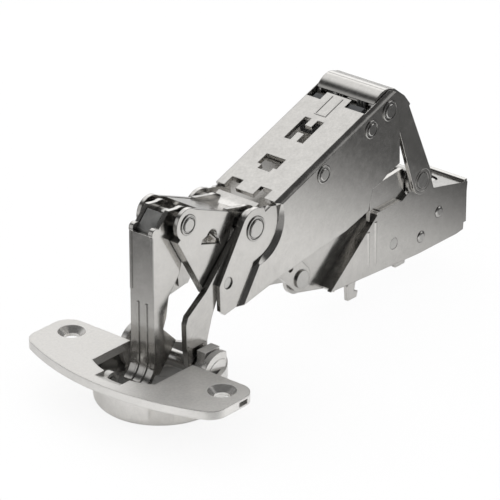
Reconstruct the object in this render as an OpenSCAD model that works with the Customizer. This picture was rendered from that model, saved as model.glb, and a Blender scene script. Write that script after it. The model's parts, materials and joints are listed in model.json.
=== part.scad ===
// Wide-angle concealed cup hinge, drawn with the door 90 degrees open.
// The origin is on the cup's axis at the door's face, +Z leaves the door and +X runs
// from the cup to the rear end of the arm. All sizes are in mm. Heights are drawn from
// the top face of the flange, and lifted() raises each piece by the flange's thickness.

/* [Cup] */
// Diameter of the cup that goes into the door
cup_d = 35; // [34.6:0.1:36]
// Depth of the cup below the flange's top face
cup_depth = 12.9; // [11.8:0.1:15]
// Wall thickness of the cup
cup_wall = 1.2; // [0.8:0.1:1.4]
// Thickness of the screw flange
flange_t = 2.4; // [1.8:0.1:3]
// Length of the screw flange from tip to tip
flange_len = 66; // [62:1:74]
// Distance of each screw hole from the flange's end
screw_inset = 7; // [6:0.5:9]
// Diameter of the screw holes
screw_d = 4.2; // [3.4:0.1:5]

/* [Sheets] */
// Sheet thickness of the outer channel
arm_t = 1.2; // [0.9:0.1:1.3]
// Sheet thickness of the levers and the post
lever_t = 1.2; // [0.8:0.1:1.2]
// Thickness of the two leg plates
leg_t = 1.7; // [1.2:0.1:1.7]
// Half width over the outer channel
arm_half = 11.2; // [10.8:0.1:12]
// Half width over the post
post_half = 4.0; // [3.4:0.1:4.2]
// Gap between neighbouring layers of the linkage
gap = 0.2; // [0.1:0.05:0.3]

/* [Pins] */
// Radius of the two main axles
axle_r = 2.2; // [1.8:0.1:2.4]
// Radius of the axle in the cup that the post's foot turns on
foot_pin_r = 1.2; // [0.9:0.1:1.3]
// Radius of the rivets
rivet_r = 1.6; // [1.2:0.1:2]
// Radial clearance of every pin in its bore
fit = 0.04; // [0.02:0.01:0.08]

/* [Base] */
// Distance of the base channel's lower edge below the flange's top face
base_drop = 3.8; // [2.6:0.1:4.4]
// Length of the base channel's top wall at the rear
roof_len = 15.2; // [12:0.2:18]
// Radius of the adjusting screw's head
screw_head_r = 3.6; // [3:0.1:4.2]

/* [Hidden] */
$fn = 48;
eps = 0.01;
// Seven pivots of the linkage, as X and Z with the door 90 degrees open.
arm_pivot = [6.5, -4.0];
foot_pivot = [-13.2, -4.5];
top_pivot = [3.6, 37.4];
cross_pivot = [26.3, 29.3];
rear_pivot = [79.8, 45.2];
base_pivot = [96.5, 18.8];
front_pivot = [49.6, 5.1];
// The cover of the outer channel starts here and rises towards the rear.
cover_start = [34.0, 34.1];
cover_tilt = 19.4;
cover_len = 42;
// Rivets of the outer channel, of the leg plates and of the base.
front_rivet_at = [52.5, 36.0];
rear_rivet_at = [72.2, 42.3];
leg_rivet_at = [15.6, 17.5];
base_rivets_at = [[105.7, 5.8], [97.9, 1.0]];
latch_at = [86.0, 3.2];
// Inner and outer half widths of each layer, from the middle outwards.
ear_half = arm_half - arm_t;
leg_half = ear_half - arm_t;
lever_half = leg_half - leg_t - gap;
border_half = lever_half - 0.8;
front_half = border_half - lever_t - gap;
link_half = ear_half - gap;
base_half = link_half - lever_t - gap / 2;
latch_half = base_half - arm_t - 0.9;
guide_half = leg_half - 2 * gap;
mouth_half = leg_half + 2;
cup_r = cup_d / 2;
cup_in = cup_r - cup_wall;
floor_z = cup_wall - cup_depth;
rim_z = -0.1 - flange_t;
screw_pitch = flange_len - 2 * screw_inset;
// The arm's axle ends inside the wall of the cup.
axle_half = sqrt(pow(cup_r - 1.5, 2) - pow(arm_pivot[0] + axle_r, 2));
dent = 4.4;
rear_x = 118.4;

// Colour of one finish. Bright parts are nickel-plated, dark ones are moulded.
function finish(name) =
    name == "bright" ? [0.78, 0.78, 0.77] :
    name == "cast" ? [0.70, 0.70, 0.70] :
    name == "pin" ? [0.62, 0.63, 0.64] :
    name == "spring" ? [0.45, 0.46, 0.48] : [0.20, 0.21, 0.22];

// Raises a piece, so that the underside of the flange is at Z = 0.
module lifted() {
    translate([0, 0, flange_t]) children();
}

// A plate drawn in X and Z, standing from y0 to y0 + t.
module plate(y0, t) {
    translate([0, y0 + t, 0])
        rotate([90, 0, 0])
            linear_extrude(t)
                children();
}

// Two equal plates whose outer faces are at +half and -half.
module both(half, t) {
    plate(half - t, t) children();
    plate(-half, t) children();
}

// A round bar along Y about the point p.
module bar(p, r, y0, y1) {
    translate([p[0], y0, p[1]])
        rotate([-90, 0, 0])
            cylinder(h = y1 - y0, r = r);
}

// A bar across the whole width.
module across(p, r, half) {
    bar(p, r, -half, half);
}

// A riveted pin: a shank with a low head at both ends, set in a pressed ring.
module headed(p, r, half, head_r, head_t) {
    across(p, r, half + 0.1);
    for (s = [-90, 90])
        translate([p[0], s > 0 ? -half : half, p[1]])
            rotate([s, 0, 0])
                rotate_extrude()
                    polygon([[0, 0], [head_r, 0], [head_r, 0.4 * head_t],
                             [head_r - 0.15, 0.6 * head_t], [head_r - 0.45, 0.6 * head_t],
                             [head_r - 0.55, 0.2 * head_t], [head_r - 0.85, 0.2 * head_t],
                             [head_r - 0.9, 0.75 * head_t], [head_r - 1.15, head_t],
                             [0, head_t]]);
}

// A disc in the plane of the levers, for a rounded end about a pivot.
module eye(p, r) {
    translate(p) circle(r);
}

// Everything inside is drawn along the cover: X along it, Y across, Z away from it.
module on_cover() {
    translate([cover_start[0], 0, cover_start[1]])
        rotate([0, -cover_tilt, 0])
            children();
}

// A straight strip in X and Z of thickness t, lying below the line from a to b.
module strip(a, b, t) {
    len = norm(b - a);
    ang = atan2(b[1] - a[1], b[0] - a[0]);
    translate(a) rotate(ang) translate([0, -t]) square([len, t]);
}

// A rounded rectangle between two corners.
module slab(lo, hi, r) {
    translate([lo[0] + r, lo[1]]) square([hi[0] - lo[0] - 2 * r, hi[1] - lo[1]]);
    translate([lo[0], lo[1] + r]) square([hi[0] - lo[0], hi[1] - lo[1] - 2 * r]);
    for (x = [lo[0] + r, hi[0] - r])
        for (y = [lo[1] + r, hi[1] - r])
            translate([x, y]) circle(r);
}

// Outline of the screw flange: a bowed front edge, a straight rear edge, round corners.
module flange_outline() {
    bow = 74;
    corner = 5;
    end = flange_len / 2 - corner;
    mid = [bow - 23.3, 0];
    at = [mid[0] - sqrt(pow(bow - corner, 2) - end * end), end];
    dir = (at - mid) / norm(at - mid);
    difference() {
        intersection() {
            translate(mid) circle(bow, $fn = 180);
            translate([-24, -flange_len / 2]) square([24.5, flange_len]);
        }
        for (s = [0, 1]) mirror([0, s]) {
            // The front corner is rounded to run into the bowed edge.
            difference() {
                polygon([at, at + [0, 9], at + [-12, 9], at + 12 * dir]);
                translate(at) circle(corner);
            }
            difference() {
                translate([0.5 - corner, end]) square(corner + 1);
                translate([0.5 - corner, end]) circle(corner);
            }
        }
    }
}

// Outline of the opening in the flange and the cup: straight sides, a bowed front.
module mouth_outline() {
    intersection() {
        translate([4, 0]) circle(cup_r + 3.5);
        translate([-18, -mouth_half]) square([40, 2 * mouth_half]);
    }
}

// The cup's outside, turned, with a rounded bottom edge of radius f.
module cup_turned(r, top, bottom, f) {
    translate([0, 0, bottom])
        rotate_extrude($fn = 96) {
            square([r - f, top - bottom]);
            translate([0, f]) square([r, top - bottom - f]);
            intersection() {
                translate([r - f, f]) circle(f);
                square([r, f]);
            }
        }
}

// A lug cast on the inside of the cup, that holds one end of an axle.
module cheek(p, r, y0, y1) {
    intersection() {
        union() {
            bar(p, r, y0, y1);
            translate([p[0] - 0.9 * r, y0, floor_z - 0.2])
                cube([1.8 * r, y1 - y0, p[1] - floor_z + 0.2]);
        }
        cup_turned(cup_r - 0.4, 4, -cup_depth + 0.4, 2);
    }
}

module cup() {
    color(finish("cast")) lifted() difference() {
        union() {
            difference() {
                union() {
                    translate([0, 0, -flange_t]) linear_extrude(flange_t) flange_outline();
                    cup_turned(cup_r, -0.5, -cup_depth, 2.4);
                }
                // The rim of the rear half lies just below the door's face.
                translate([0.5, -cup_r - 1, rim_z]) cube([cup_r + 1, 2 * cup_r + 2, 5]);
                // The hollow of the cup below the flange, with the dent in its wall.
                difference() {
                    cup_turned(cup_in, -flange_t, floor_z, 1.6);
                    rotate(222) translate([cup_r + dent - 1.6, 0, floor_z - 1])
                        cylinder(h = cup_depth - 4.6 + cup_wall, r = dent + cup_wall);
                }
                translate([0, 0, -flange_t - eps]) linear_extrude(flange_t + 1) mouth_outline();
                // The rear wall is lower between the legs, which lie over it when open.
                translate([10, -mouth_half, -4.6]) cube([10, 2 * mouth_half, 6]);
            }
            // Lugs for the two axles, cast in one with the cup.
            for (s = [0, 1]) mirror([0, s, 0]) {
                cheek(arm_pivot, axle_r + 2.2, leg_half + 0.4, axle_half + 1.3);
                cheek(foot_pivot, 2.4, post_half + 0.7, post_half + 2.7);
                // A square block on the cheek's inner end.
                translate([arm_pivot[0] - 2.9, leg_half + 0.7, arm_pivot[1] - 1])
                    cube([5.6, 2.9, 7.6]);
                // A half-round ear stands over the end of the arm's axle.
                intersection() {
                    bar(arm_pivot, axle_r + 4.2, axle_half - 0.5, axle_half + 1.2);
                    cup_turned(cup_r - 0.3, 6, -cup_depth + 0.5, 2);
                }
            }
        }
        across(arm_pivot, axle_r + fit, axle_half + 0.1);
        across(foot_pivot, foot_pin_r + fit, post_half + 4.2);
        // Countersunk screw holes.
        for (s = [-1, 1]) translate([-5.5, s * screw_pitch / 2, 0]) {
            translate([0, 0, -flange_t - 1]) cylinder(h = flange_t + 2, d = screw_d);
            translate([0, 0, -1.5]) cylinder(h = 1.5 + eps, d1 = screw_d, d2 = screw_d + 3.4);
        }
        // A coned seat in the front edge, that the post lies in when the door is shut.
        intersection() {
            translate([4, 0, -1.75]) cylinder(h = 1.8, r1 = cup_r + 3.4, r2 = cup_r + 7.1);
            translate([-24, -post_half - 0.4, -2]) cube([12, 2 * post_half + 0.8, 3]);
        }
        // A round groove up the outside of the front wall.
        rotate(222) translate([cup_r + dent - 1.6, 0, -cup_depth - 1])
            cylinder(h = cup_depth - 2.6, r = dent);
        // A slot in the near end of the flange.
        translate([-6.9, -flange_len / 2 - 1, -1.9]) cube([3.2, 2.4, 1.3]);
    }
}

// A moulded tray that covers the cup's floor under the moving parts.
module cup_lining() {
    color(finish("plastic")) lifted() difference() {
        translate([0, 0, floor_z + 0.02]) cylinder(h = 0.4, r = cup_in - 1.8, $fn = 96);
        for (s = [0, 1]) mirror([0, s, 0]) {
            translate([arm_pivot[0] - 5, leg_half + 0.1, floor_z - 1])
                cube([10, axle_half + 1.7 - leg_half, 3]);
            translate([foot_pivot[0] - 3, post_half + 0.3, floor_z - 1]) cube([5.8, 2.8, 3]);
        }
        rotate(222) translate([cup_r + dent - 1.6, 0, floor_z - 1])
            cylinder(h = 3, r = dent + cup_wall + 0.1);
    }
}

module arm_axle() {
    color(finish("pin")) lifted() across(arm_pivot, axle_r, axle_half);
}

// The foot's axle is left out between the lugs, so that the foot can pass.
module foot_axle() {
    color(finish("pin")) lifted() {
        bar(foot_pivot, foot_pin_r, post_half + 0.3, post_half + 4.1);
        bar(foot_pivot, foot_pin_r, -post_half - 4.1, -post_half - 0.3);
    }
}

// Side wall of the outer channel behind the joggle.
module arm_side() {
    difference() {
        union() {
            polygon([[35.4, 33.3], [35.2, 28.6], [33.9, 24.9], [31.4, 22.2], [28.0, 20.4],
                     [24.7, 18.5], [18.7, 9.5], [35.0, 12.7],
                     [62.0, 16.3], [71.4, 18.9], [73.2, 24.7], [76.5, 25.3], [79.5, 27.0],
                     [84.5, 28.4], [84.3, 41.1], [81.0, 49.6], [76.9, 48.7], [34.6, 33.8]]);
            eye(rear_pivot, 5.3);
        }
        eye(rear_pivot, axle_r + fit);
        eye(rear_rivet_at, rivet_r + fit);
        eye(front_rivet_at, rivet_r + fit);
    }
}

// Ear of the outer channel in front of the joggle, set in by one sheet.
module arm_ear() {
    difference() {
        union() {
            eye(cross_pivot, 5.6);
            polygon([[21.8, 32.6], [12.1, 17.7], [12.4, 10.4], [14.0, 8.9], [20.6, 9.9],
                     [27.0, 17.2], [39.0, 21.5], [38.0, 33.0], [34.6, 33.0], [29.0, 34.2]]);
        }
        eye(cross_pivot, axle_r + fit);
        eye(leg_rivet_at, rivet_r + fit);
    }
}

// The cover of the outer channel with its windows, notches and bent tongues.
module arm_cover() {
    edge = arm_half - 0.3;
    translate([0, 0, -arm_t]) linear_extrude(arm_t) difference() {
        union() {
            translate([0, -edge]) square([cover_len, 2 * edge]);
            translate([cover_len - 1, -edge]) square([5, edge - ear_half]);
            translate([cover_len - 1, ear_half]) square([5, edge - ear_half]);
        }
        // The H-shaped window leaves a tongue that stands in from its front side.
        difference() {
            translate([22, -2]) square([9.3, 6.4]);
            translate([21.9, 0.1]) square([3.4, 2.2]);
            translate([28.4, 0.1]) square([3.4, 2.2]);
        }
        translate([10.7, -2]) square([4.1, 6.5]);
        translate([9.0, -0.9]) square([1.8, 4.0]);
        translate([-1, 3.5]) square([4.5, 3.8]);
        translate([-1, -6.3]) square([4.5, 3.8]);
        translate([38.8, 5.2]) square([10, ear_half - 5.2]);
        translate([38.8, -ear_half]) square([10, ear_half - 3.2]);
    }
}

// A rib pressed up from the cover.
module cover_rib(at, size, h) {
    translate([at[0], at[1], -0.3]) cube([size[0], size[1], h + 0.3]);
}

// The slanted wall of the joggle round the cross pivot and down beside the leg.
module joggle_cut() {
    for (s = [0, 1]) mirror([0, s, 0]) {
        translate([cross_pivot[0], ear_half + 0.05, cross_pivot[1]])
            rotate([-90, 0, 0])
                cylinder(h = arm_t + 0.5, r1 = 8.7, r2 = 10.9);
        a = [28.2, 23.75];
        b = [16.8, 6.65];
        ang = atan2(b[1] - a[1], b[0] - a[0]);
        translate([a[0], ear_half + 0.12, a[1]])
            rotate([0, -ang, 0])
                rotate([90, 0, 90])
                    linear_extrude(norm(b - a))
                        polygon([[0, -12], [arm_t + 0.6, -12], [arm_t + 0.6, 2.0], [0, 0.1]]);
    }
}

// What is cut away along the cover's two long edges, to leave a rounded bend.
module bend_cut() {
    r = 2.4;
    in = arm_half + 0.15 - r;
    for (s = [0, 1]) mirror([0, s, 0]) on_cover() difference() {
        translate([-4, in, 0.15 - r]) cube([56, r + 2, r + 2]);
        translate([-5, in, 0.15 - r]) rotate([0, 90, 0]) cylinder(h = 58, r = r);
    }
}

module arm_channel() {
    color(finish("bright")) lifted() difference() {
        arm_bent();
        joggle_cut();
        bend_cut();
    }
}

module arm_bent() {
    union() {
        both(arm_half, arm_t) arm_side();
        both(ear_half, arm_t) arm_ear();
        // The joggle: where wall and ear lie over each other, one runs into the other.
        both(arm_half - 0.4, 2 * arm_t - 0.8) intersection() {
            arm_side();
            arm_ear();
        }
        on_cover() {
            arm_cover();
            // A line pressed round three sides of the rear tongue.
            cover_rib([33.6, -0.9], [7.6, 0.35], 0.15);
            cover_rib([33.6, 2.6], [7.6, 0.35], 0.15);
            cover_rib([33.3, -0.9], [0.35, 3.85], 0.15);
            // Tabs bent down behind the two notches of the front edge.
            translate([3.5, 3.9, -1.8]) cube([0.9, 3.0, 1.8]);
            translate([3.5, -5.9, -1.8]) cube([0.9, 3.0, 1.8]);
        }
    }
}

// One leg plate: an S-shaped lever from the cup up to the cross pivot.
module leg_side() {
    difference() {
        union() {
            eye(arm_pivot, 4.0);
            eye(cross_pivot, 4.6);
            polygon([[8.0, -7.2], [10.1, -3.2], [8.4, -0.6], [8.6, 3.6], [10.4, 9.3], [12.4, 13.6],
                     [21.6, 17.0], [29.4, 26.9], [23.0, 31.6], [8.2, 17.3], [1.2, 12.6],
                     [0.4, 10.6], [0.6, 4.0], [1.2, -1.1], [3.2, -5.4]]);
        }
        eye(arm_pivot, axle_r + fit);
        eye(cross_pivot, axle_r + fit);
        eye(leg_rivet_at, rivet_r + fit);
    }
}

module leg_near() {
    color(finish("bright")) lifted() plate(-leg_half + 0.02, leg_t - 0.02) leg_side();
}

module leg_far() {
    color(finish("bright")) lifted() plate(leg_half - leg_t, leg_t - 0.02) leg_side();
}

module cross_axle() {
    color(finish("pin")) lifted() headed(cross_pivot, axle_r, ear_half + 0.02, axle_r + 1.2, 0.6);
}

module rear_axle() {
    color(finish("pin")) lifted() headed(rear_pivot, axle_r, arm_half + 0.02, axle_r + 0.7, 0.6);
}

module front_rivet() {
    color(finish("pin")) lifted() headed(front_rivet_at, rivet_r, arm_half + 0.02, rivet_r + 1.0, 0.5);
}

module rear_rivet() {
    color(finish("pin")) lifted() headed(rear_rivet_at, rivet_r, arm_half + 0.02, rivet_r + 1.0, 0.5);
}

// Two short rivets that tie the ears to the leg plates.
module leg_rivets() {
    inner = leg_half - leg_t - 0.02;
    outer = ear_half - 0.35;
    color(finish("pin")) lifted() for (s = [-1, 1])
        bar(leg_rivet_at, rivet_r, min(s * inner, s * outer), max(s * inner, s * outer));
}

// The moulded guide under the rear end of the cover.
module plastic_guide() {
    color(finish("plastic")) lifted() difference() {
        on_cover() difference() {
            union() {
                translate([32, -guide_half, -6.9]) cube([9, 2 * guide_half, 6.85 - arm_t]);
                // Two blocks stand up in the rear notches of the cover.
                translate([39, 5.5, -2]) cube([2, guide_half - 5.6, 1.6]);
                translate([39, -guide_half + 0.1, -2]) cube([2, guide_half - 3.6, 1.6]);
            }
            translate([34, -guide_half + 2.8, -7]) cube([12, 2 * guide_half - 5.6, 4.2]);
        }
        across(rear_rivet_at, rivet_r + fit, 20);
    }
}

// A pack of n coils about the Y axis, starting at y = 0, as one turned body.
module coils(n, radius, wire) {
    rotate([-90, 0, 0])
        rotate_extrude($fn = 64)
            for (i = [0:n - 1])
                translate([radius, (0.5 + i) * 1.9 * wire]) circle(wire, $fn = 24);
}

// Two packs of coils on the rear axle, joined by a bow, with legs under the cover.
module closing_spring() {
    wire = 0.5;
    coil = axle_r + 0.15 + wire;
    low = rear_pivot[1] - coil + 0.05;
    color(finish("spring")) lifted() {
        for (s = [0, 1]) mirror([0, s, 0]) {
            translate([rear_pivot[0], 1.5, rear_pivot[1]]) coils(4, coil, wire);
            for (y = [1.98, 4.82])
                translate([rear_pivot[0] - 4.5, y, low])
                    rotate([0, 90, 0])
                        cylinder(h = 4.6, r = wire - 0.08);
        }
        translate([rear_pivot[0] - 4.5, -2.3, low])
            rotate([-90, 0, 0])
                cylinder(h = 4.6, r = wire - 0.04);
    }
}

// The raised triangular face of the inner lever.
module lever_face() {
    difference() {
        union() {
            eye(top_pivot, 4.4);
            polygon([[0.2, 34.9], [11.6, 15.4], [13.4, 14.0], [15.6, 14.0], [17.0, 15.2],
                     [25.0, 33.4], [4.9, 41.4]]);
        }
        eye(top_pivot, axle_r + fit);
        polygon([[15.9, 27.8], [15.5, 29.4], [13.3, 32.6], [9.2, 31.2], [8.6, 30.1]]);
        eye([12.7, 30.9], 2.0);
    }
}

// The set-in rest of the inner lever, from the cross pivot down to the base.
module lever_border() {
    d = (front_pivot - cross_pivot) / norm(front_pivot - cross_pivot);
    n = [-d[1], d[0]];
    difference() {
        union() {
            eye(cross_pivot, 5.2);
            eye(front_pivot, 3.7);
            polygon([cross_pivot - 4.8 * n, front_pivot - 3.6 * n, front_pivot + 3.6 * n,
                     cross_pivot + 4.6 * n]);
            polygon([[12.5, 17.5], [13.0, 12.8], [16.6, 12.6], [26.0, 24.4], [28.4, 34.0],
                     [19.5, 36.0]]);
        }
        eye(cross_pivot, axle_r + fit);
        eye(front_pivot, rivet_r + fit);
        // The C-shaped slot beside the lower end.
        translate(front_pivot - 6.2 * d) circle(1.0);
        translate(front_pivot - 6.2 * d) translate(0.3 * n) rotate(45) square([1.6, 1.6]);
    }
}

module inner_lever() {
    // Middle of the round dip in the web. It lies just clear of the tubes on the cross axle.
    dip = [27.6, cross_pivot[1] + axle_r + 9.3];
    color(finish("bright")) lifted() union() {
        difference() {
            both(lever_half, lever_t) lever_face();
            // The raised faces slope down to the set-in plate along their rear edge.
            for (s = [0, 1]) mirror([0, s, 0])
                translate([26.0, 0, 35.7])
                    rotate([0, 113.7, 0])
                        rotate([90, 0, 90])
                            linear_extrude(24.5)
                                polygon([[border_half + 0.08, -0.4], [lever_half + 0.05, -3.4],
                                         [lever_half + 1, -3.4], [lever_half + 1, 1.5],
                                         [border_half + 0.08, 1.5]]);
        }
        both(border_half, lever_t) lever_border();
        // The flat web on top, between the top pivot and the cross pivot.
        plate(-lever_half, 2 * lever_half) strip([9.2, 39.6], [24.6, 33.4], lever_t);
        // Behind it the web dips over the cross axle and rises towards the cover.
        plate(-lever_half, 2 * lever_half) difference() {
            eye(dip, 8.9);
            eye(dip, 8.0);
            polygon([dip, dip + [5.2, -9.9], dip + [14.4, -9.9], dip + [14.4, 11.2],
                     dip + [-11.6, 11.2], dip + [-11.6, -8.6], dip + [-3.4, -8.6]]);
        }
        // The raised faces turn in along their front edge.
        for (s = [0, 1]) mirror([0, s, 0])
            plate(post_half + gap, lever_half - post_half - gap)
                strip([0.6, 34.2], [11.4, 15.8], lever_t);
        // A cross web that keeps the two lower ends apart.
        plate(-border_half, 2 * border_half) strip([37.0, 16.3], [39.6, 13.6], lever_t);
    }
}

// Two studs that stand for the outer ends of the front pivot.
module lever_studs() {
    outer = border_half + 0.6;
    inner = border_half - lever_t;
    color(finish("pin")) lifted() for (s = [-1, 1]) {
        bar(front_pivot, rivet_r, min(s * inner, s * outer), max(s * inner, s * outer));
        bar(front_pivot, 2.5, min(s * (border_half + 0.02), s * outer),
            max(s * (border_half + 0.02), s * outer));
    }
}

// Two spacer tubes on the cross axle, inside the lever's plates.
module spacer_rings() {
    color(finish("pin")) lifted() difference() {
        across(cross_pivot, axle_r + 0.4, border_half - lever_t - 0.05);
        across(cross_pivot, axle_r + fit, 20);
        across(cross_pivot, 4, 1.2);
    }
}

// Flange of the post, with the notch that clears the arm's axle when fully open.
module post_side() {
    difference() {
        union() {
            eye(top_pivot, 4.0);
            polygon([[-7.2, -2.6], [-4.6, -3.0], [-1.2, 0.8], [1.8, 4.5], [-3.1, 9.3], [-1.9, 12.2], [-0.9, 17.8],
                     [3.2, 22.6], [5.9, 31.0], [7.5, 36.4], [3.4, 41.2], [-0.6, 41.8], [-2.4, 40.0],
                     [-5.2, 37.4], [-6.6, 36.6], [-6.6, 0.6], [-6.9, -0.6]]);
        }
        eye(top_pivot, axle_r + fit);
    }
}

// The lower end of the post's web, bent forwards from a quarter ring.
module foot_curve(r0, r1) {
    mid = [-12.6, 1];
    difference() {
        eye(mid, r1);
        eye(mid, r0);
        polygon([mid, mid + [20, 0], mid + [20, 20], mid + [-20, 20], mid + [-20, -20],
                 mid + [9.4, -17.7]]);
    }
}

module post_lever() {
    color(finish("bright")) lifted() difference() {
        union() {
            both(post_half, lever_t) post_side();
            // The web faces the front; its lower end bends into the foot.
            plate(-post_half, 2 * post_half) {
                translate([-6.6, 1]) square([lever_t, 35.3]);
                foot_curve(6, 6 + lever_t);
            }
            // Two ribs pressed out of the web.
            for (y = [-1.7, 1.1]) plate(y, 0.6) {
                translate([-6.9, 1]) square([0.6, 16]);
                foot_curve(5.7, 6.3);
            }
            // Raised borders along the upper part of the web.
            for (s = [0, 1]) mirror([0, s, 0])
                translate([-6.85, post_half - 0.7, 20]) cube([0.5, 0.65, 16.2]);
            // Curled lugs at the upper corners.
            both(post_half, lever_t + 0.2) eye([-5.5, 37.0], 1.45);
        }
    }
}

module top_axle() {
    color(finish("pin")) lifted() headed(top_pivot, axle_r, lever_half + 0.02, axle_r + 0.6, 0.5);
}

// A small dark plate between the ears of the post.
module post_plate() {
    // It stands just behind the post's web.
    x = -6.6 + lever_t;
    color(finish("spring")) lifted()
        plate(-post_half + lever_t + 0.23, 2 * (post_half - lever_t - 0.23))
            polygon([[x + 1.1, 33.6], [x + 1.1, 36.6], [x + 4.8, 40.3], [x + 4.1, 41.0],
                     [x + 0.1, 37.0], [x + 0.1, 33.6]]);
}

// Plate of the rear link between the rear pivot and the base.
module link_side() {
    difference() {
        union() {
            eye(rear_pivot, 5.3);
            eye(base_pivot, 4.0);
            polygon([[80.6, 40.0], [85.8, 37.3], [92.8, 17.2], [100.4, 19.8], [89.5, 44.0],
                     [87.4, 46.2], [82.5, 49.8], [76.9, 49.6]]);
        }
        eye(rear_pivot, axle_r + fit);
        eye(base_pivot, axle_r + fit);
    }
}

module rear_link() {
    color(finish("bright")) lifted() difference() {
        union() {
            both(link_half, lever_t) link_side();
            // The roll over the rear axle.
            plate(-link_half, 2 * link_half) difference() {
                eye(rear_pivot, 5.7);
                eye(rear_pivot, 4.5);
                polygon([rear_pivot, rear_pivot + [-8.7, 5.2], rear_pivot + [-12, -12],
                         rear_pivot + [12, -12], rear_pivot + [8, 8.4]]);
            }
            // The rounded back of the link joins its two plates.
            plate(-link_half, 2 * link_half) {
                strip([79.4, 50.95], [83.6, 50.0], lever_t);
                strip([83.4, 50.1], [87.9, 46.6], lever_t);
                strip([87.7, 46.8], [90.4, 43.4], lever_t);
            }
        }
        // A slot in the rounded back.
        translate([84, -1.2, 44]) cube([5, 2.4, 8]);
    }
}

module link_axle() {
    color(finish("pin")) lifted() across(base_pivot, axle_r, link_half + 0.1);
}

// Side of the base channel behind the joggle.
module base_side() {
    difference() {
        union() {
            eye(base_pivot, 4.8);
            polygon([[96.7, -base_drop], [113.9, -base_drop], [rear_x - 1.6, -base_drop + 0.4],
                     [rear_x, 10.4], [103.2, 13.6], [100.6, 21.2], [94.0, 22.4], [92.2, 16.4],
                     [89.3, 14.8], [79.0, 14.5], [59.0, -1.7]]);
        }
        eye(base_pivot, axle_r + fit);
        for (p = base_rivets_at) eye(p, rivet_r + fit);
        eye(latch_at, rivet_r + fit);
    }
}

// Outline of the set-in plate behind the joggle.
module base_rise() {
    difference() {
        polygon([[76.4, 10.0], [95.0, 10.0], [94.6, 17.6], [90.6, 23.6], [77.4, 22.4]]);
        eye(base_pivot, axle_r + 3.1);
    }
}

// Front part of the base, set in so that the inner lever passes outside it.
module base_front() {
    difference() {
        union() {
            eye(front_pivot, 4.6);
            polygon([[49.6, 0.5], [60.5, -2.2], [79.4, 15.2], [62.0, 13.2], [49.6, 9.7]]);
        }
        eye(front_pivot, rivet_r + fit);
    }
}

module base_channel() {
    color(finish("bright")) lifted() difference() {
        union() {
            both(base_half, arm_t) base_side();
            both(front_half, arm_t) base_front();
            // A set-in plate rises behind the joggle, under the rear link.
            both(base_half - arm_t, arm_t) base_rise();
            both(base_half - 0.4, 2 * arm_t - 0.8) intersection() {
                base_rise();
                base_side();
            }
            // Two beads pressed out of each side.
            for (s = [0, 1]) mirror([0, s, 0]) {
                translate([74.9, base_half - 0.5, 0]) cylinder(h = 10.4, r = 0.75);
                translate([78.0, base_half - 0.5, 0]) cylinder(h = 12.4, r = 0.75);
            }
            // The joggle walls step the sides out from the front part to the rear part.
            for (y0 = [-base_half, front_half - arm_t])
                plate(y0, base_half - front_half + arm_t) strip([59.7, -1.18], [79.8, 15.2], arm_t);
            // Top walls of the channel, front, middle and rear.
            plate(-front_half, 2 * front_half) strip([55.0, 11.4], [78.6, 15.1], arm_t);
            plate(-base_half, 2 * base_half) strip([78.6, 14.9], [88.6, 15.2], arm_t);
            plate(-base_half, 2 * base_half)
                strip([rear_x - roof_len, 13.9], [rear_x, 10.6], arm_t);
            // The end wall.
            translate([rear_x - arm_t - 0.3, -base_half, -base_drop + 2.4])
                cube([arm_t, 2 * base_half, 13.0]);
        }
        // A hole for the adjusting screw, and a hole that lightens the middle wall.
        translate([109.4, 0, 5]) cylinder(h = 12, r = screw_head_r + 0.3);
        translate([83.4, 0, 10]) cylinder(h = 10, r = 2.6);
    }
}

// The sliding carrier inside the base, that the mounting plate takes hold of.
module base_slide() {
    inner = base_half - arm_t - 0.05;
    color(finish("cast")) lifted() difference() {
        union() {
            plate(-inner, 2 * inner) polygon([[93.0, 6.4], [115.6, 6.4], [115.6, 8.6], [93.0, 8.6]]);
            both(inner, 1.3) polygon([[95.0, -2.6], [114.0, -2.6], [115.6, 8.6], [93.0, 8.6]]);
        }
        for (p = base_rivets_at) across(p, rivet_r + fit, 20);
        translate([109.4, 0, 5]) cylinder(h = 12, r = 2.0 + fit);
    }
}

module front_axle() {
    color(finish("pin")) lifted() across(front_pivot, rivet_r, front_half + 0.1);
}

// Rivets that stand in both sides of the base, with low domed ends.
module base_rivets() {
    inner = base_half - arm_t - 1.45;
    color(finish("pin")) lifted() for (p = base_rivets_at) for (s = [-90, 90])
        translate([p[0], s > 0 ? -inner : inner, p[1]])
            rotate([s, 0, 0])
                rotate_extrude()
                    polygon([[0, 0], [rivet_r, 0], [rivet_r, base_half - inner + 0.1],
                             [rivet_r - 0.3, base_half - inner + 0.3],
                             [rivet_r - 0.7, base_half - inner + 0.4],
                             [0, base_half - inner + 0.4]]);
}

// The latch: two cheeks with a claw each at the front and the rear, and a web.
module latch() {
    outer = latch_half;
    t = 1.2;
    color(finish("cast")) lifted() difference() {
        union() {
            both(outer, t) polygon([[68.6, -4.2], [69.0, -8.6], [72.6, -8.6], [73.2, -7.0],
                                    [71.6, -6.4], [72.4, -3.2], [88.2, -2.6], [89.4, -6.0],
                                    [93.4, -6.0], [93.8, -4.6], [91.6, -4.0], [91.4, 6.4],
                                    [84.0, 7.8], [76.0, 2.0]]);
            plate(-outer, 2 * outer) strip([82.4, 8.1], [91.4, 6.5], t);
        }
        across(latch_at, rivet_r + fit, 20);
    }
}

module latch_axle() {
    color(finish("pin")) lifted() across(latch_at, rivet_r, base_half - 0.02);
}

// A coil spring on the latch's axle, with one leg towards the carrier.
module latch_spring() {
    wire = 0.45;
    coil = rivet_r + 0.15 + wire;
    color(finish("spring")) lifted() {
        translate([latch_at[0], -3, latch_at[1]]) coils(7, coil, wire);
        translate([latch_at[0], 2.55, latch_at[1] + 0.05 - coil])
            rotate([0, 90, 0])
                cylinder(h = 6, r = wire - 0.06);
    }
}

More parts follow.
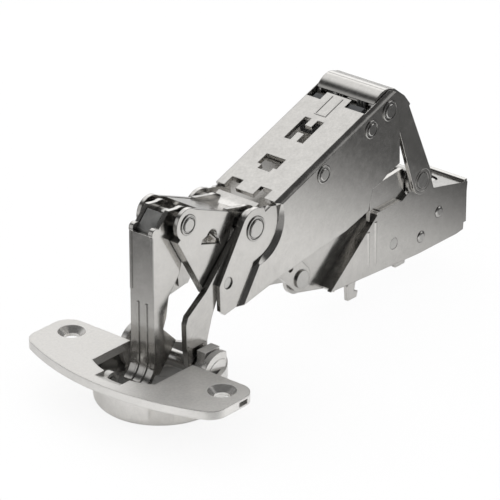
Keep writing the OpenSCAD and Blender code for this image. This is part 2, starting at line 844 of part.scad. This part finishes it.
// The screw that moves the carrier, with a cross recess in its head.
module adjusting_screw() {
    color(finish("pin")) lifted() translate([109.4, 0, 0]) difference() {
        union() {
            translate([0, 0, 5.4]) cylinder(h = 4.6, r = 2.0);
            translate([0, 0, 8.7]) cylinder(h = 2.6, r = screw_head_r);
        }
        for (a = [0, 90])
            rotate(a) translate([-2.2, -0.45, 9.7]) cube([4.4, 0.9, 3]);
    }
}

cup();
arm_axle();
foot_axle();
cup_lining();
arm_channel();
leg_near();
leg_far();
cross_axle();
rear_axle();
front_rivet();
rear_rivet();
leg_rivets();
plastic_guide();
closing_spring();
inner_lever();
lever_studs();
spacer_rings();
post_lever();
top_axle();
post_plate();
rear_link();
link_axle();
base_channel();
base_slide();
front_axle();
base_rivets();
latch();
latch_spring();
latch_axle();
adjusting_screw();
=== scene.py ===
"""Looks of the concealed cup hinge: nickel-plated sheet, cup, pins, springs, plastic and studio."""

import json
import math

import bpy
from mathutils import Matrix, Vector


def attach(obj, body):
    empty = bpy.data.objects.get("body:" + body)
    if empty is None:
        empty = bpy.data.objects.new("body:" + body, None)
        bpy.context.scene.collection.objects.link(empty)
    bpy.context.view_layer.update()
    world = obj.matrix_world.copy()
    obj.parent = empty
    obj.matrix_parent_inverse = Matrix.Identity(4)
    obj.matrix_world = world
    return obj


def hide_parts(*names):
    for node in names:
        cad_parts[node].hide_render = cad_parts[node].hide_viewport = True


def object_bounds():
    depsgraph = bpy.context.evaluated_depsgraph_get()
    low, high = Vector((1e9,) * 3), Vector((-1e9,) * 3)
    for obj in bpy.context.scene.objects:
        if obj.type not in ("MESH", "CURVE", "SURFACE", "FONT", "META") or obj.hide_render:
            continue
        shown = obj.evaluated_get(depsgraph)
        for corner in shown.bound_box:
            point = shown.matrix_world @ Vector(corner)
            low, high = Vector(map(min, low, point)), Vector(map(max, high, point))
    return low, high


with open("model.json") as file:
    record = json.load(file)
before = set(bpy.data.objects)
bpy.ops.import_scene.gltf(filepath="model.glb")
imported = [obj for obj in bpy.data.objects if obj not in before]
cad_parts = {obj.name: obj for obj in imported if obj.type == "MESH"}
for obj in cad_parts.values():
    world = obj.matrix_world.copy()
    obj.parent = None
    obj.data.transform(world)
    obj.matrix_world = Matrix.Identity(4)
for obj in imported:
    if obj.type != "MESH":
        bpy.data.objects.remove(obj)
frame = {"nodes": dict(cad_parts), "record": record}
cad_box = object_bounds()
scene = bpy.context.scene

MM = 0.001
# The flange's thickness in mm. The heights of the pivots are counted from its top face.
LIFT = 2.4
WHITE = (1.0, 1.0, 1.0, 1.0)


# ---------- shader helpers ----------
def add(tree, kind, inputs=None, **settings):
    """Adds a node. inputs maps an input's name or number to its value, or to a socket to link."""
    node = tree.nodes.new("ShaderNode" + kind)
    for name, value in settings.items():
        setattr(node, name, value)
    for key, value in (inputs or {}).items():
        if isinstance(value, bpy.types.NodeSocket):
            tree.links.new(value, node.inputs[key])
        else:
            node.inputs[key].default_value = value
    return node


def arithmetic(tree, operation, a, b=0.0):
    """One Math node. Each of a and b is a number or a socket."""
    return add(tree, "Math", {0: a, 1: b}, operation=operation).outputs["Value"]


def remap(tree, value, start, stop, low, high, smooth=False):
    """Runs from low, where the value is start, to high, where it is stop."""
    inputs = {"Value": value, "From Min": start, "From Max": stop, "To Min": low, "To Max": high}
    kind = "SMOOTHSTEP" if smooth else "LINEAR"
    return add(tree, "MapRange", inputs, interpolation_type=kind).outputs["Result"]


def cloudy_range(tree, value, low, high):
    """Spreads a noise value, which seldom leaves 0.3 to 0.7, over low to high."""
    return remap(tree, value, 0.3, 0.7, low, high)


def mix_shaders(tree, factor, shader_a, shader_b):
    """Shader a where the factor is 0, shader b where it is 1."""
    return add(tree, "MixShader", {"Fac": factor, 1: shader_a.outputs[0], 2: shader_b.outputs[0]})


def new_material(name):
    """A material with a Principled shader. Returns it, its tree, the shader and the output."""
    mat = bpy.data.materials.new(name)
    mat.use_nodes = True
    tree = mat.node_tree
    tree.nodes.clear()
    out = add(tree, "OutputMaterial")
    bsdf = add(tree, "BsdfPrincipled")
    tree.links.new(bsdf.outputs[0], out.inputs["Surface"])
    return mat, tree, bsdf, out


def noise(tree, scale, detail, rough=0.5):
    """Noise in the piece's own space. The scale is per millimetre."""
    coord = add(tree, "TexCoord")
    place = add(tree, "Mapping", {"Vector": coord.outputs["Object"], "Scale": [1.0 / MM] * 3})
    inputs = {"Vector": place.outputs["Vector"], "Scale": scale, "Detail": detail,
              "Roughness": rough}
    return add(tree, "TexNoise", inputs).outputs["Fac"]


def rounded_normal(tree, radius):
    """The normal with edges rounded over that radius in mm."""
    return add(tree, "Bevel", {"Radius": radius * MM}, samples=6).outputs["Normal"]


def edge_mask(tree, width):
    """1 along the edges of the piece, 0 on its flats."""
    rounded = rounded_normal(tree, width)
    flat = add(tree, "NewGeometry").outputs["Normal"]
    dot = add(tree, "VectorMath", {0: rounded, 1: flat}, operation="DOT_PRODUCT")
    return remap(tree, dot.outputs["Value"], 0.80, 0.98, 1.0, 0.0)


def hollow_shade_mask(tree, width):
    """0 in narrow hollows and gaps of the object, 1 on its open faces. It places the painted shade
    in hollows.
    """
    return add(tree, "AmbientOcclusion", {"Distance": width * MM}, samples=4).outputs["AO"]


def blend_colour(tree, factor, colour_a, colour_b):
    """Colour a where the factor is 0, colour b where it is 1."""
    ramp = add(tree, "ValToRGB", {"Fac": factor})
    for stop, colour in zip(ramp.color_ramp.elements, (colour_a, colour_b)):
        stop.color = (*colour, 1.0)
    return ramp.outputs["Color"]


def groove(tree, x, z, radius, width=0.16):
    """0 in a ring pressed into the sheet about the pivot at x and z, 1 beside it. All in mm."""
    coord = add(tree, "TexCoord")
    inputs = {0: coord.outputs["Object"], 1: (1.0, 0.0, 1.0), 2: (-x * MM, 0.0, -z * MM)}
    across = add(tree, "VectorMath", inputs, operation="MULTIPLY_ADD")
    away = add(tree, "VectorMath", {0: across.outputs["Vector"]}, operation="LENGTH")
    off = arithmetic(tree, "SUBTRACT", away.outputs["Value"], radius * MM)
    return remap(tree, arithmetic(tree, "ABSOLUTE", off), 0.0, width * MM, 0.0, 1.0, smooth=True)


def bump(tree, bsdf, heights, edge):
    """Adds bumps over a softly rounded edge. heights lists (value, strength, depth in mm)."""
    normal = rounded_normal(tree, edge)
    for value, strength, depth in heights:
        inputs = {"Height": value, "Strength": strength, "Distance": depth * MM, "Normal": normal}
        normal = add(tree, "Bump", inputs).outputs["Normal"]
    tree.links.new(normal, bsdf.inputs["Normal"])


# ---------- materials ----------
# How bright the plating is against its plain colour. Edges take its bright colour, partly as wear
# and partly as a painted highlight.
DULL, BRIGHT = 0.91, 1.10
# Painted shade: the darker line beside each edge.
EDGE_SHADE_LINE = 0.80
MOTTLED_SHADE = (0.92, 1.06)
# Painted shade in a pressed ring.
RING_SHADE_LEVEL = 0.5
# How rough it is against its plain roughness, and how much of that wear takes off.
CLOUDY_ROUGH = (0.82, 1.2)
MOTTLED_ROUGH = (0.82, 1.16)
POLISH = 0.25
# Scales of the noises, per mm.
MOTTLE_SCALE, WAVE_SCALE, GRAIN_SCALE = 1.3, 0.10, 5.0
# Reach of the painted shade in hollows and depth of a pressed ring, in mm.
HOLLOW_SHADE_REACH, RING_DEPTH = 2.0, 0.12
# Width of the edge's wear and painted highlight, and of the painted shade line beside it, against
# the edge's radius.
WORN_AND_HIGHLIT_WIDTH, EDGE_SHADE_WIDTH = 1.4, 3.5


def metal(name, colour, rough, metallic=1.0, wave=0.05, grain=0.018, edge=0.22, cloud=0.35,
          rings=(), satin=0.0, hollow_shade=0.45):
    """Nickel-plated metal: cloudy and mottled gloss, faint waves, fine grain, edges brightened
    partly by wear and partly as a painted highlight, and painted shade in hollows, beside edges and
    in pressed rings.

    wave, grain and edge are in mm: the depth of the waves and of the grain, and the edges' radius.
    cloud is the scale of the clouds, per mm. rings are grooves, each (x, z, radius) in mm, with
    painted shade in them. satin is the roughness that faces looking up have on top of the rest.
    hollow_shade is the share of the colour that is left in the deepest hollows, as painted shade.
    """
    mat, tree, bsdf, _ = new_material(name)
    bsdf.inputs["Metallic"].default_value = metallic
    cloudy = noise(tree, cloud, 3.0)
    mottled = noise(tree, MOTTLE_SCALE, 5.0, 0.65)
    worn_and_highlit = edge_mask(tree, edge * WORN_AND_HIGHLIT_WIDTH)

    # Colour: bright clouds and bright edges on duller plating. The edges' brightness is partly wear
    # and partly a painted highlight.
    shade = arithmetic(tree, "ADD", cloudy_range(tree, cloudy, 0.0, 0.5),
                       remap(tree, worn_and_highlit, 0.0, 1.0, 0.0, 0.5))
    dull = [DULL * c for c in colour]
    bright = [min(1.0, BRIGHT * c) for c in colour]
    unshaded_colour = blend_colour(tree, shade, dull, bright)

    # Over it painted shade in hollows, a painted shade line beside each edge, mottling, and painted
    # shade in pressed rings.
    light = remap(tree, hollow_shade_mask(tree, HOLLOW_SHADE_REACH), 0.25, 0.9, hollow_shade, 1.0)
    # Painted shade: a darker line beside each edge.
    beside = arithmetic(tree, "SUBTRACT", edge_mask(tree, edge * EDGE_SHADE_WIDTH), worn_and_highlit)
    light = arithmetic(tree, "MULTIPLY", light, remap(tree, beside, 0.0, 1.0, 1.0, EDGE_SHADE_LINE))
    light = arithmetic(tree, "MULTIPLY", light, cloudy_range(tree, mottled, *MOTTLED_SHADE))
    pressed = [groove(tree, *ring) for ring in rings]
    # Painted shade in each pressed ring, on top of its bump.
    for value in pressed:
        ring_shade = remap(tree, value, 0.0, 1.0, RING_SHADE_LEVEL, 1.0, smooth=True)
        light = arithmetic(tree, "MULTIPLY", light, ring_shade)
    colour_with_painted_shade = add(tree, "VectorMath", {0: unshaded_colour, "Scale": light}, operation="SCALE")
    tree.links.new(colour_with_painted_shade.outputs["Vector"], bsdf.inputs["Base Color"])

    # Gloss: it follows the clouds and the mottling, and worn edges are polished.
    low, high = [rough * share for share in CLOUDY_ROUGH]
    gloss = arithmetic(tree, "SUBTRACT", cloudy_range(tree, cloudy, low, high),
                       remap(tree, worn_and_highlit, 0.0, 1.0, 0.0, rough * POLISH))
    gloss = arithmetic(tree, "MULTIPLY", gloss, cloudy_range(tree, mottled, *MOTTLED_ROUGH))
    if satin:
        facing = add(tree, "SeparateXYZ", {0: add(tree, "TexCoord").outputs["Normal"]})
        upward = remap(tree, facing.outputs["Z"], 0.7, 0.98, 0.0, satin, smooth=True)
        gloss = arithmetic(tree, "ADD", gloss, upward)
    tree.links.new(gloss, bsdf.inputs["Roughness"])

    bumps = [(noise(tree, WAVE_SCALE, 2.0), 0.3, wave)]
    bumps += [(noise(tree, GRAIN_SCALE, 3.0), 0.12, grain)]
    bumps += [(value, 0.8, RING_DEPTH) for value in pressed]
    bump(tree, bsdf, bumps, edge)
    return mat


def plastic(name, colour, rough):
    """Moulded plastic with a fine spark-eroded grain."""
    mat, tree, bsdf, _ = new_material(name)
    cloudy = noise(tree, 0.5, 3.0)
    lighter = [1.35 * c for c in colour]
    tree.links.new(blend_colour(tree, cloudy, colour, lighter), bsdf.inputs["Base Color"])
    gloss = cloudy_range(tree, cloudy, rough * 0.85, rough * 1.15)
    tree.links.new(gloss, bsdf.inputs["Roughness"])
    bump(tree, bsdf, [(noise(tree, 6.0, 4.0), 0.25, 0.02)], 0.2)
    return mat


SHEET_COLOUR, SHEET_ROUGH = (0.66, 0.645, 0.62), 0.17
FINISH = {
    "nickel_sheet": metal("nickel_sheet", SHEET_COLOUR, SHEET_ROUGH),
    "cast_nickel": metal("cast_nickel", (0.74, 0.725, 0.70), 0.40, wave=0.03, grain=0.02, edge=0.3,
                         cloud=0.2),
    "pin_steel": metal("pin_steel", (0.60, 0.59, 0.57), 0.20, wave=0.01, edge=0.15),
    "spring_steel": metal("spring_steel", (0.50, 0.50, 0.49), 0.40, wave=0.0, edge=0.08),
    "dark_plastic": plastic("dark_plastic", (0.035, 0.036, 0.038), 0.45),
}
# Pieces that differ from their slot's finish. The link has two rings pressed about its lower pivot.
LINK_PIVOT = (96.5, 18.8 + LIFT)
OWN_FINISH = {
    "rear_link": metal("nickel_link", SHEET_COLOUR, SHEET_ROUGH,
                       rings=[(*LINK_PIVOT, 3.2), (*LINK_PIVOT, 2.3)]),
    "cup_lining": plastic("lining", (0.34, 0.335, 0.325), 0.30),
    "cup": metal("nickel_cup", (0.84, 0.825, 0.80), 0.20, metallic=0.88, wave=0.08, grain=0.02,
                 edge=0.3, cloud=0.2, satin=0.38, hollow_shade=0.8),
}

slots = {row["node"]: row["material_slot"] for row in frame["record"]["subparts"]}
for node, obj in frame["nodes"].items():
    obj.data.materials.clear()
    obj.data.materials.append(OWN_FINISH.get(node, FINISH[slots[node]]))


# ---------- springs of real wire, in place of the CAD's stacks of rings ----------
def helix(centre, radius, start, stop, y_start, y_stop, count):
    """Points on a helix about an axle along Y. The angles are in degrees, the rest in mm."""
    points = []
    for i in range(count + 1):
        t = i / count
        angle = math.radians(start + (stop - start) * t)
        points.append((centre[0] + radius * math.cos(angle), y_start + (y_stop - y_start) * t,
                       centre[1] + radius * math.sin(angle)))
    return points


def wire(name, points, radius, body, node):
    """A round wire along the points, riding on the body in place of the node."""
    curve = bpy.data.curves.new(name, "CURVE")
    curve.dimensions = "3D"
    curve.bevel_depth = radius * MM
    curve.bevel_resolution = 3
    curve.use_fill_caps = True
    spline = curve.splines.new("POLY")
    spline.points.add(len(points) - 1)
    for point, place in zip(spline.points, points):
        point.co = (place[0] * MM, place[1] * MM, place[2] * MM, 1.0)
    obj = bpy.data.objects.new(name, curve)
    scene.collection.objects.link(obj)
    curve.materials.append(FINISH["spring_steel"])
    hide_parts(node)
    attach(obj, body)


# Closing spring: a bow, an inner leg, coils on the rear axle and a bent outer leg, then mirrored.
# All in mm.
rear_axle = (79.8, 45.2 + LIFT)
coil_r = 2.85
legs_z = rear_axle[1] - 2.80
legs_x = rear_axle[0] - 4.5
inner_y, outer_y = 1.98, 4.82
bow_r, bend_r = 0.78, 0.9
bend = [math.radians(a) for a in (18, 36, 54, 72, 90)]
side_x = rear_axle[0] - coil_r
half = [(legs_x, 0.0, legs_z), (legs_x, inner_y - bow_r, legs_z)]
half += [(legs_x + bow_r * (1 - math.cos(a)), inner_y - bow_r + bow_r * math.sin(a), legs_z)
         for a in bend]
half += helix(rear_axle, coil_r, -90, 900, inner_y, 4.73, 99)
half += [(side_x, 4.78, rear_axle[1] - bend_r), (side_x, 4.8, legs_z + bend_r)]
half += [(side_x - bend_r * (1 - math.cos(a)), outer_y, legs_z + bend_r * (1 - math.sin(a)))
         for a in bend]
half += [(legs_x, outer_y, legs_z)]
other_half = [(x, -y, z) for x, y, z in reversed(half[1:])]
wire("closing_spring_wire", other_half + half, 0.45, "arm", "closing_spring")

# Latch spring: coils on the latch's axle and one straight leg towards the carrier.
latch_axle = (86.0, 3.2 + LIFT)
latch_coil_r, last_y = 2.2, 2.55
turns = helix(latch_axle, latch_coil_r, -90 - 6 * 360, -90, -2.56, last_y, 144)
leg_end = (latch_axle[0] + 6.0, last_y, latch_axle[1] - latch_coil_r)
wire("latch_spring_wire", turns + [leg_end], 0.41, "base", "latch_spring")


# ---------- floor ----------
FLOOR_SIZE, FLOOR_GAP = 6.0, 0.2 * MM
bpy.ops.mesh.primitive_plane_add(size=FLOOR_SIZE, location=(0, 0, cad_box[0].z - FLOOR_GAP))
floor = bpy.context.object
floor.name = "floor"
mat, tree, bsdf, out = new_material("floor")
bsdf.inputs["Base Color"].default_value = (0.86, 0.86, 0.86, 1.0)
bsdf.inputs["Roughness"].default_value = 0.9
floor.data.materials.append(mat)

# The metal shows the floor as a white sheet that gets darker away from the hinge. All in metres.
place = add(tree, "SeparateXYZ", {0: add(tree, "TexCoord").outputs["Object"]})
x_of, y_of = place.outputs["X"], place.outputs["Y"]
across = arithmetic(tree, "SUBTRACT", x_of, y_of)
along = arithmetic(tree, "ADD", arithmetic(tree, "MULTIPLY", x_of, 0.6), y_of)
right_part = remap(tree, x_of, 0.085, 0.165, 1.0, 0.0, smooth=True)
left_part = remap(tree, across, -0.190, 0.020, 0.0, 1.0, smooth=True)
front_part = remap(tree, along, -0.080, -0.040, 0.25, 1.0, smooth=True)
far_part = remap(tree, y_of, 0.030, 0.160, 0.0, 0.60, smooth=True)
level = arithmetic(tree, "MULTIPLY", right_part, left_part)
level = arithmetic(tree, "MULTIPLY", level, front_part)
level = arithmetic(tree, "MAXIMUM", remap(tree, level, 0.0, 1.0, 0.10, 1.0), far_part)
sheet = add(tree, "BsdfDiffuse", {"Color": level})
path = add(tree, "LightPath")
mirrored = arithmetic(tree, "MAXIMUM", path.outputs["Is Glossy Ray"],
                      path.outputs["Is Transmission Ray"])
in_metal = mix_shaders(tree, mirrored, bsdf, sheet)

# The camera sees the white world through the floor, and on it a faint shadow near the cup.
clear = add(tree, "BsdfTransparent")
chalk = add(tree, "BsdfDiffuse", {"Color": WHITE})
clearness = remap(tree, x_of, 0.0, 0.05, 0.85, 0.95, smooth=True)
faint = mix_shaders(tree, clearness, chalk, clear)
seen = mix_shaders(tree, path.outputs["Is Camera Ray"], in_metal, faint)

# Light passes down through it, and from below it isn't there: the open hinge reaches under it.
from_below = add(tree, "NewGeometry").outputs["Backfacing"]
passing = arithmetic(tree, "MAXIMUM", from_below, path.outputs["Is Shadow Ray"])
whole = mix_shaders(tree, passing, seen, clear)
tree.links.new(whole.outputs[0], out.inputs["Surface"])

# ---------- world ----------
world = bpy.data.worlds.new("studio")
scene.world = world
world.use_nodes = True
tree = world.node_tree
tree.nodes.clear()
out = add(tree, "OutputWorld")
# Soft patches on the studio's walls, seen in metal only: direction, cosines of the angles where
# each starts and is full, and its strength. The first is a large box behind on the right, then
# come three smaller ones. The last is the pale ground that metal below the floor shows.
PATCHES = [
    ((0.48, 0.59, 0.62), 0.66, 0.92, 1.21),
    ((0.75, 0.59, 0.35), 0.88, 0.98, 0.45),
    ((-0.8, 0.55, 0.25), 0.85, 0.97, 0.60),
    ((0.69, -0.59, 0.38), 0.92, 0.985, 1.10),
    ((0, 0, -1), 0.0, 0.6, 0.80),
]
WALL_LEVEL, PLAIN_LEVEL = 0.07, 0.90
level = WALL_LEVEL
coord = add(tree, "TexCoord")
for direction, start, stop, amount in PATCHES:
    inputs = {0: coord.outputs["Generated"], 1: Vector(direction).normalized()}
    dot = add(tree, "VectorMath", inputs, operation="DOT_PRODUCT")
    patch = remap(tree, dot.outputs["Value"], start, stop, 0.0, amount, smooth=True)
    level = arithmetic(tree, "ADD", level, patch)
plain = add(tree, "Background", {"Color": WHITE, "Strength": PLAIN_LEVEL})
studio = add(tree, "Background", {"Strength": level})
white = add(tree, "Background", {"Color": WHITE, "Strength": 1.0})
path = add(tree, "LightPath")
mirrored = arithmetic(tree, "MAXIMUM", path.outputs["Is Glossy Ray"],
                      path.outputs["Is Transmission Ray"])
lighting = mix_shaders(tree, mirrored, plain, studio)
whole = mix_shaders(tree, path.outputs["Is Camera Ray"], lighting, white)
tree.links.new(whole.outputs[0], out.inputs["Surface"])


# ---------- lamps ----------
LIT_POINT = Vector((0.05, 0, 0.02))


def lamp(name, place, size, power):
    """A square soft box that lights the hinge but doesn't show in metal: the world's patches do."""
    data = bpy.data.lights.new(name, "AREA")
    data.shape = "RECTANGLE"
    data.size = data.size_y = size
    data.energy = power
    obj = bpy.data.objects.new(name, data)
    scene.collection.objects.link(obj)
    obj.location = place
    aim = LIT_POINT - Vector(place)
    obj.rotation_mode = "QUATERNION"
    obj.rotation_quaternion = aim.to_track_quat("-Z", "Y")
    obj.visible_glossy = False


lamp("key", (0.45, 0.60, 0.85), 0.8, 2.6)
lamp("front", (-0.60, -0.55, 0.60), 0.4, 0.4)

# ---------- camera, from the fit to the photo ----------
azimuth, elevation, distance = math.radians(-49.45), math.radians(25.30), 1.051
back = Vector((math.sin(azimuth) * math.cos(elevation), -math.cos(azimuth) * math.cos(elevation),
               math.sin(elevation)))
right = Vector((math.cos(azimuth), math.sin(azimuth), 0))
up = back.cross(right)
# The point looked at moves a little in the picture's plane, to frame the hinge as the photo does.
shift_left, shift_down = 0.00924, 0.00313
target = Vector((0.050, 0, 0.0174)) - right * shift_left - up * shift_down
data = bpy.data.cameras.new("camera")
camera = bpy.data.objects.new("camera", data)
scene.collection.objects.link(camera)
data.sensor_width = 36.0
data.lens = 285.05
data.clip_start, data.clip_end = 0.01, 20.0
camera.location = target + back * distance
camera.rotation_mode = "QUATERNION"
camera.rotation_quaternion = (-back).to_track_quat("-Z", "Y")
scene.camera = camera

scene.view_settings.view_transform = "Standard"
